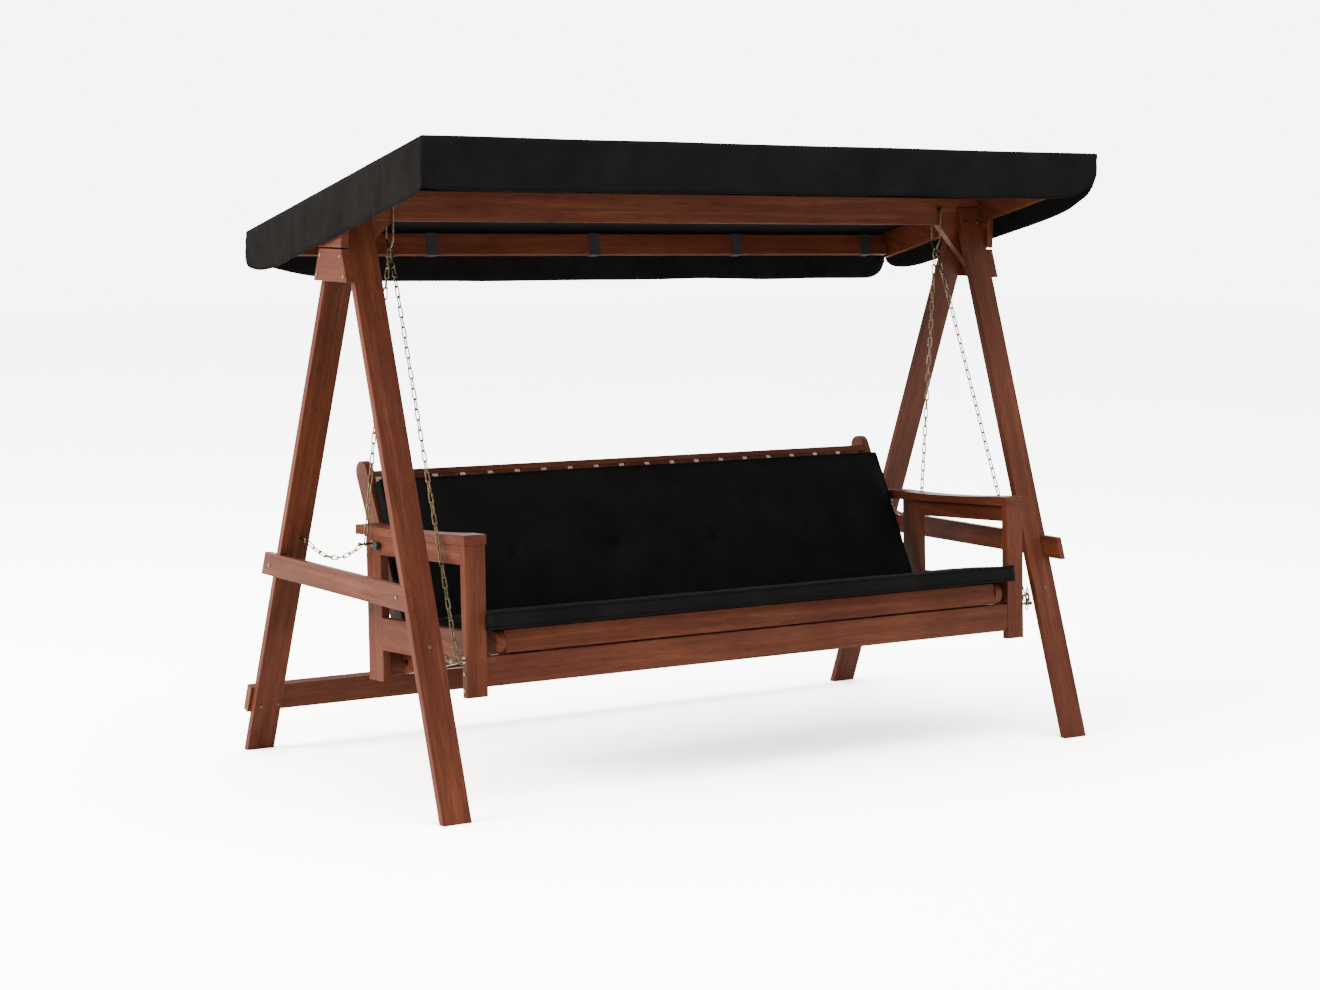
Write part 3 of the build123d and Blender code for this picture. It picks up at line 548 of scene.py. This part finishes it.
def taut_centres(top, bolt):
    """Link centres of a taut chain, from a stirrup to a bolt."""
    way = (bolt - top).normalized()
    first = top + way * HALF_LINK
    run = bolt + way * (BOLT_PLAY - HALF_LINK) - first
    gaps = int(run.length / LINK_INSIDE) + 1
    return [first + run * (i / gaps) for i in range(gaps + 1)]


chain_parts = []
for side in (-1, 1):
    for end, spot in ((-1, FRONT_BOLT), (1, REAR_BOLT)):
        top = Vector((side * STIRRUP_X, end * CHAINS_APART, PIVOT_LEVEL))
        centres = taut_centres(top, bench_point(side, spot))
        gaps = len(centres) - 1
        quarters = gaps + (gaps + 1) % 2
        chain_parts.append(grown(
            f"chain_part_{side}_{end}", [centres], links,
            First_turn=0.0, Turn=quarters * pi / 2 / gaps,
        ))
chains = joined("chains", chain_parts)
smooth(chains)
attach(chains, "swing")
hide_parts("chain_front_left", "chain_front_right", "chain_rear_left", "chain_rear_right")


def slack_centres(bolt, hook, sag, count, spare):
    """Link centres along a sagging run, then straight down from the hook."""
    points = []
    for i in range(count):
        t = (i + 0.5) / count
        points.append(bolt.lerp(hook, t) + Vector((0, 0, -4 * sag * t * (1 - t))))
    return points, [hook + Vector((0, 0, -LINK_INSIDE * (i + 0.75))) for i in range(spare)]


def leg_inner(z):
    """How far the inner face of a leg is from the middle, at a height."""
    return STAND_HALF - tan(LEG_LEAN) * z - LEG_THICK / cos(LEG_LEAN)


HOLD_ASIDE = 0.012       # hold-back chain beside the hanging chain on its bolt
HOLD_REACH = 0.024       # leg to the link in its hook
HOLD_DROP = 0.006
FRONT_HOOK = (1.165, 0.487)
REAR_HOOK = (1.173, 0.707)

slack = []
for side, word in ((-1, "left"), (1, "right")):
    aside = Vector((side * HOLD_ASIDE, 0, 0))
    front = bench_point(side, FRONT_BOLT) + aside
    rear = bench_point(side, REAR_BOLT) + aside
    x, z = FRONT_HOOK
    front_hook = Vector((side * x, -leg_inner(z) + HOLD_REACH, z - HOLD_DROP))
    x, z = REAR_HOOK
    rear_hook = Vector((side * x, leg_inner(z) - HOLD_REACH, z - HOLD_DROP))
    for place, bolt, hook, sag, count, spare in (
        ("front", front, front_hook, 0.004, 3, 2), ("rear", rear, rear_hook, 0.046, 9, 1)
    ):
        sagging, hanging = slack_centres(bolt, hook, sag, count, spare)
        runs = [sagging] if spare < 2 else [sagging, hanging]
        piece = grown(f"hold_chain_{place}_{word}", runs, links, First_turn=pi / 2)
        smooth(piece)
        slack.append((piece, bolt))
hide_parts("hold_chains")
for piece, bolt in slack:
    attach(piece, "swing")
    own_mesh(piece)


# ---- roof cloth ----------------------------------------------------------------------
CLOTH = 0.002
BEAM_ACROSS = 0.010      # where the cloth lies on the beam, in the roof's frame
BEAM_SPREAD = 0.11
ROOF_SLACK = 0.006
CREASE_HIGH = 0.004
CREASE_WIDE = 0.012
FRONT_DROP = 0.150
SIDE_DROP = 0.157
REAR_DROP = 0.157
COLUMNS = 180
ROWS = 80
DROPS = 12
FOLDS_REAR = (-0.98, -0.62, -0.21, 0.35, 0.78, 1.10)


def roof_point(x, y):
    """A point of the cloth over the frame, slack between the rails."""
    u = x / ROOF_HALF_X
    v = y / ROOF_HALF_Y
    on_beam = fade(((y - BEAM_ACROSS) / BEAM_SPREAD) ** 2)
    slack_here = ROOF_SLACK * (1 - u ** 4) * (1 - v ** 2) * (1 - on_beam)
    pull = 0.0015 * noise.noise(Vector((x * 3.1, y * 3.1, 4.0))) * (1 - on_beam)
    return ROOF @ Vector((x, y, -0.0015 - slack_here + pull))


def flap_drop(drop, place, half, start, end):
    """How far a flap hangs at a place along its edge. Each end is cut up by some height
    over some run, as a quarter of an ellipse."""
    fall = drop + 0.004 * noise.noise(Vector((place * 3.4, drop * 40, 1.7)))
    for distance, (cut, run) in ((place + half, start), (half - place, end)):
        if distance < run:
            fall -= cut * (1 - sqrt(max(0, 1 - ((run - distance) / run) ** 2)))
    return fall


def add_flap(vertices, faces, edge, places, half, drop, ends, out, ripple, folds):
    """Hangs a flap from a row of edge points, rippled and folded more towards its hem,
    and gives back the points of its hem."""
    upper = edge
    out = Vector(out)
    for step in range(1, DROPS + 1):
        share = step / DROPS
        lower = []
        for start, place in zip(edge, places):
            fall = flap_drop(drop, place, half, *ends) * share
            wave = ripple * noise.noise(Vector((place * 6.5, out.x * 5, out.y * 9)))
            tight = 0.5 * ripple * noise.noise(Vector((place * 24, share * 2.2, out.x + 3)))
            near_end = 1.8 ** (-abs(half - abs(place)) / 0.05)
            pucker = 0.0035 * near_end * sin(share * 7 + place * 60)
            crease = sum(CREASE_HIGH * fade(((place - fold) / CREASE_WIDE) ** 2) for fold in folds)
            swing = share ** 1.3 * (wave + crease) + tight + pucker * share
            lower.append(len(vertices))
            vertices.append(vertices[start] + Vector((0, 0, -fall)) + out * (0.001 + swing))
        for k in range(len(upper) - 1):
            faces.append((upper[k], lower[k], lower[k + 1], upper[k + 1]))
        upper = lower
    return [vertices[k].copy() for k in upper]


def roof_cloth_piece():
    """One continuous cloth: the sloping roof and the four flaps that hang from it."""
    vertices = []
    faces = []
    xs = [-ROOF_HALF_X + 2 * ROOF_HALF_X * i / COLUMNS for i in range(COLUMNS + 1)]
    ys = [-ROOF_HALF_Y + 2 * ROOF_HALF_Y * j / ROWS for j in range(ROWS + 1)]
    top = {}
    for i, x in enumerate(xs):
        for j, y in enumerate(ys):
            top[i, j] = len(vertices)
            vertices.append(roof_point(x, y))
    for i in range(COLUMNS):
        for j in range(ROWS):
            faces.append((top[i, j], top[i + 1, j], top[i + 1, j + 1], top[i, j + 1]))
    square = (0.025, 0.07)
    cut = (0.080, 0.23)
    front = [top[i, 0] for i in range(COLUMNS + 1)]
    right = [top[COLUMNS, j] for j in range(ROWS + 1)]
    rear = [top[i, ROWS] for i in range(COLUMNS, -1, -1)]
    left = [top[0, j] for j in range(ROWS, -1, -1)]
    hems = [
        add_flap(
            vertices, faces, front, xs, ROOF_HALF_X, FRONT_DROP, (square, cut),
            (0, -1, 0), 0.006, (-1.22, 0.86),
        ),
        add_flap(
            vertices, faces, right, ys, ROOF_HALF_Y, SIDE_DROP, (cut, cut),
            (1, 0, 0), 0.006, (0.2,),
        ),
        add_flap(
            vertices, faces, rear, xs[::-1], ROOF_HALF_X, REAR_DROP, ((0.10, 0.60), (0.06, 0.09)),
            (0, 1, 0), 0.010, FOLDS_REAR,
        ),
        add_flap(
            vertices, faces, left, ys[::-1], ROOF_HALF_Y, SIDE_DROP, (square, cut),
            (-1, 0, 0), 0.006, (-0.3, 0.24),
        ),
    ]
    piece = mesh_object("roof_cloth", vertices, faces, roof_cloth)
    smooth(piece)
    thick = piece.modifiers.new("cloth", "SOLIDIFY")
    thick.thickness = CLOTH
    thick.offset = -1
    return applied(piece), hems


canopy, hems = roof_cloth_piece()
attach(canopy, "stand")
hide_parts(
    "canopy_top", "canopy_front_valance", "canopy_rear_valance",
    "canopy_left_valance", "canopy_right_valance",
)


def tube(name, runs, radius, material, closed=False, sides=8):
    """Round cord laid along runs of points."""
    curve = bpy.data.curves.new(name, "CURVE")
    curve.dimensions = "3D"
    curve.bevel_depth = radius
    curve.bevel_resolution = max(0, sides // 4 - 1)
    for run in runs:
        spline = curve.splines.new("POLY")
        spline.points.add(len(run) - 1)
        for point, spot in zip(spline.points, run):
            point.co = (*spot, 1)
        spline.use_cyclic_u = closed
    holder = in_scene(name, curve)
    bpy.context.view_layer.update()
    seen = holder.evaluated_get(bpy.context.evaluated_depsgraph_get())
    mesh = bpy.data.meshes.new_from_object(seen)
    bpy.data.objects.remove(holder)
    mesh.materials.clear()
    mesh.materials.append(material)
    piece = in_scene(name, mesh)
    smooth(piece)
    return piece


hem_cord = tube("roof_hem", hems, 0.0018, roof_cloth)
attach(hem_cord, "stand")
hem_lines = [[spot + Vector((0, 0, 0.014)) for spot in hem[4:-4]] for hem in hems]
hem_stitches = grown("roof_hem_stitches", hem_lines, stitches, Pitch=0.008, Length=0.0055)
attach(hem_stitches, "stand")


# ---- webbing straps around the roof rails ------------------------------------------------
STRAP_THICK = 0.0018


def strap(name, x, y_low, y_high, z_low, z_high, width):
    """A loop of strap around a rail, in the roof's own frame."""
    around = [(y_low, z_low), (y_high, z_low), (y_high, z_high), (y_low, z_high)]
    vertices = []
    for offset in (0.0, STRAP_THICK):
        for px in (x - width / 2, x + width / 2):
            for index, (y, z) in enumerate(around):
                dy = offset if index in (1, 2) else -offset
                dz = offset if index in (2, 3) else -offset
                vertices.append(ROOF @ Vector((px, y + dy, z + dz)))
    faces = []
    for k in range(4):
        n = (k + 1) % 4
        faces.append((k, n, 4 + n, 4 + k))
        faces.append((8 + k, 12 + k, 12 + n, 8 + n))
        faces.append((k, 8 + k, 8 + n, n))
        faces.append((4 + k, 4 + n, 12 + n, 12 + k))
    piece = mesh_object(name, vertices, faces, strap_cloth)
    outward(piece)
    soft = piece.modifiers.new("edge", "BEVEL")
    soft.width = 0.0006
    soft.segments = 2
    return applied(piece)


STRAP_PLACES = (-1.19, -0.655, -0.026, 0.569, 1.147)
STRAP_WIDTH = 0.04
REAR_RAIL = (0.5148, 0.5412, -0.0862, -0.0158)     # inside of a loop: its ends along Y, then Z
FRONT_RAIL = (-0.5302, -0.5038, -0.0862, -0.0158)

strap_parts = []
for x in STRAP_PLACES:
    strap_parts.append(strap(f"strap_rear_{x}", x, *REAR_RAIL, STRAP_WIDTH))
    strap_parts.append(strap(f"strap_front_{x}", x, *FRONT_RAIL, STRAP_WIDTH))
straps = joined("straps", strap_parts)
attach(straps, "stand")
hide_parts("roof_straps")


# ---- cushions -------------------------------------------------------------------------
def superslope(t, power):
    """Flat across the middle and steep at both ends; a higher power is flatter."""
    return 1 - abs(t) ** power


def pillow(name, place, half, depth, thick, edge, tufts, seed, columns=190, rows=52):
    """A filled box cushion: a flat underside and a quilted top that swells from a boxed
    edge, pulled in at the tufts and creased a little towards the corners."""
    vertices = []
    faces = []

    def face_point(i, j, way):
        u = 2 * i / columns - 1
        v = 2 * j / rows - 1
        x = u * half
        y = (v + 1) / 2 * depth
        corner = (abs(u) ** 24) * (abs(v) ** 8)
        swell = superslope(u, 34) * superslope(v, 3.2)
        height = edge + (thick - edge) * swell if way > 0 else 0.0
        for tx, ty in tufts if way > 0 else ():
            far = sqrt((x - tx) ** 2 + ((y - ty) * 1.15) ** 2)
            height -= 0.017 * fade((far / 0.020) ** 1.2) + 0.008 * fade((far / 0.085) ** 1.3)
        wrinkle = noise.noise(Vector((x * 5.5, y * 9.0, seed + way)))
        crease = noise.noise(Vector((x * 23, y * 14, seed * 3 + way)))
        near_edge = abs(v) ** 6 + abs(u) ** 40
        if way > 0:
            height += (0.0026 * wrinkle + 0.0014 * crease * (0.4 + near_edge)) * (1 - abs(v) ** 30)
        spot = Vector((x * (1 - 0.002 * corner), y, height))
        bow = 0.003 * noise.noise(Vector((x * 2.2, 3.0, seed)))
        spot.y += bow * abs(v) ** 3
        return spot

    grid = {}
    for way in (-1, 1):
        for i in range(columns + 1):
            for j in range(rows + 1):
                grid[way, i, j] = len(vertices)
                vertices.append(face_point(i, j, way))
        for i in range(columns):
            for j in range(rows):
                ring = (grid[way, i, j], grid[way, i + 1, j], grid[way, i + 1, j + 1], grid[way, i, j + 1])
                faces.append(ring if way > 0 else ring[::-1])
    border = [(i, 0) for i in range(columns)] + [(columns, j) for j in range(rows)]
    border += [(i, rows) for i in range(columns, 0, -1)] + [(0, j) for j in range(rows, 0, -1)]
    middle = Vector((0, depth / 2, thick / 2))
    lower = [grid[-1, i, j] for i, j in border]
    upper = [grid[1, i, j] for i, j in border]
    rings = [lower]
    for step in (0.25, 0.5, 0.75):
        ring = []
        for low, high in zip(lower, upper):
            spot = vertices[low].lerp(vertices[high], step)
            out = spot - middle
            side = Vector((1 if out.x > 0 else -1, 0, 0)) if abs(abs(spot.x) - half) < 0.004 else (
                Vector((0, 1 if out.y > 0 else -1, 0))
            )
            puff = 0.0045 * sin(pi * step) * (1 + 0.5 * noise.noise(spot * 6 + Vector((seed, 0, 0))))
            ring.append(len(vertices))
            vertices.append(spot + side * puff)
        rings.append(ring)
    rings.append(upper)
    count = len(border)
    for low, high in zip(rings, rings[1:]):
        for k in range(count):
            n = (k + 1) % count
            faces.append((low[k], low[n], high[n], high[k]))
    placed = [place @ spot for spot in vertices]
    piece = mesh_object(name, placed, faces, cushion_cloth)
    outward(piece)
    smooth(piece)
    welt_runs = [[placed[k] for k in lower], [placed[k] for k in upper]]
    welt = tube(f"{name}_welt", welt_runs, 0.0036, cushion_cloth, closed=True)
    return piece, welt


def tuft_buttons(name, place, tufts, thick):
    """Small cloth-covered buttons at the bottom of the tufts."""
    parts = []
    for number, (x, y) in enumerate(tufts):
        shape = bmesh.new()
        bmesh.ops.create_uvsphere(shape, u_segments=20, v_segments=10, radius=0.011)
        mesh = bpy.data.meshes.new(f"{name}_{number}")
        shape.to_mesh(mesh)
        shape.free()
        mesh.materials.append(cushion_cloth)
        mesh.transform(
            place @ Matrix.Translation((x, y, thick - 0.021)) @ Matrix.Diagonal((1, 1, 0.45, 1))
        )
        parts.append(in_scene(f"{name}_{number}", mesh))
    buttons = joined(name, parts)
    smooth(buttons)
    return buttons


TUFT_XS = (-0.585, -0.195, 0.195, 0.585)
SEAT_THICK = 0.060
BACK_THICK = 0.058
seat_tufts = [(x, 0.25) for x in TUFT_XS]
seat_pad, seat_welt = pillow(
    "seat_cushion_pad", BED, 1.018, 0.508, SEAT_THICK, 0.046, seat_tufts, 2.0
)
seat_buttons = tuft_buttons("seat_tufts", BED, seat_tufts, SEAT_THICK)
BACK_PAD = BACK @ Matrix.Translation((0, 0.109, 0.0355))
back_tufts = [(x, 0.195) for x in TUFT_XS]
back_pad, back_welt = pillow(
    "back_cushion_pad", BACK_PAD, 0.996, 0.464, BACK_THICK, 0.036, back_tufts, 7.0
)
back_buttons = tuft_buttons("back_tufts", BACK_PAD, back_tufts, BACK_THICK)
for pieces, body in (
    ((seat_pad, seat_welt, seat_buttons), "seat"), ((back_pad, back_welt, back_buttons), "backrest")
):
    for piece in pieces:
        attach(piece, body)
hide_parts("seat_cushion")
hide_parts("back_cushion")


# ---- room, light and camera ---------------------------------------------------------------
def studio():
    """A pale floor under even light, with one strong soft lamp from the left."""
    bpy.ops.mesh.primitive_plane_add(size=60, location=(0, 0, 0))
    floor = bpy.context.object
    floor.name = "floor"
    material, tree, bsdf, coords = new_material("white studio floor, matt", Roughness=0.9)
    tone = add(tree, "ShaderNodeTexNoise", [("Vector", coords)], Scale=0.4, Detail=1.0)
    colour = ramp(tree, tone.outputs["Fac"], [(0.3, "f8f6f6"), (0.7, "f9f8f8")])
    tree.links.new(colour, bsdf.inputs["Base Color"])
    bsdf.inputs["Specular IOR Level"].default_value = 0.1
    floor.data.materials.append(material)

    world = bpy.data.worlds.new("soft studio")
    world.use_nodes = True
    background = world.node_tree.nodes["Background"]
    background.inputs["Color"].default_value = linear("ffffff")
    background.inputs["Strength"].default_value = 7.0
    bpy.context.scene.world = world

    for name, spot, aim, size, power, tint in (
        ("key", (-12.6, 0.8, 6.4), (0, 0, 0.9), 6.0, 17500, "ffeede"),
        ("top", (0.2, -0.4, 6.0), (0, 0, 0), 5.0, 1700, "fff8f4"),
        ("fill", (1.5, -7.0, 4.5), (0, 0, 0.8), 5.0, 60, "f2f4ff"),
    ):
        lamp = bpy.data.lights.new(name, "AREA")
        lamp.shape = "SQUARE"
        lamp.size = size
        lamp.energy = power
        lamp.color = linear(tint)[:3]
        holder = in_scene(name, lamp)
        holder.location = spot
        holder.rotation_euler = (Vector(aim) - Vector(spot)).to_track_quat("-Z", "Y").to_euler()


def camera():
    """Seen from the front left, a little below the roof."""
    yaw, pitch, roll = radians(-35.05), radians(-6.336), radians(0.78)
    forward = Vector((-sin(yaw) * cos(pitch), cos(yaw) * cos(pitch), sin(pitch)))
    right = Vector((cos(yaw), sin(yaw), 0))
    up = right.cross(forward)
    x_axis = right * cos(roll) + up * sin(roll)
    y_axis = up * cos(roll) - right * sin(roll)
    lens = bpy.data.cameras.new("camera")
    lens.lens = 73.33
    lens.sensor_width = 36
    holder = in_scene("camera", lens)
    turn = Matrix((x_axis, y_axis, -forward)).transposed().to_4x4()
    holder.matrix_world = Matrix.Translation((-5.049, -7.094, 1.785)) @ turn
    bpy.context.scene.camera = holder


studio()
camera()
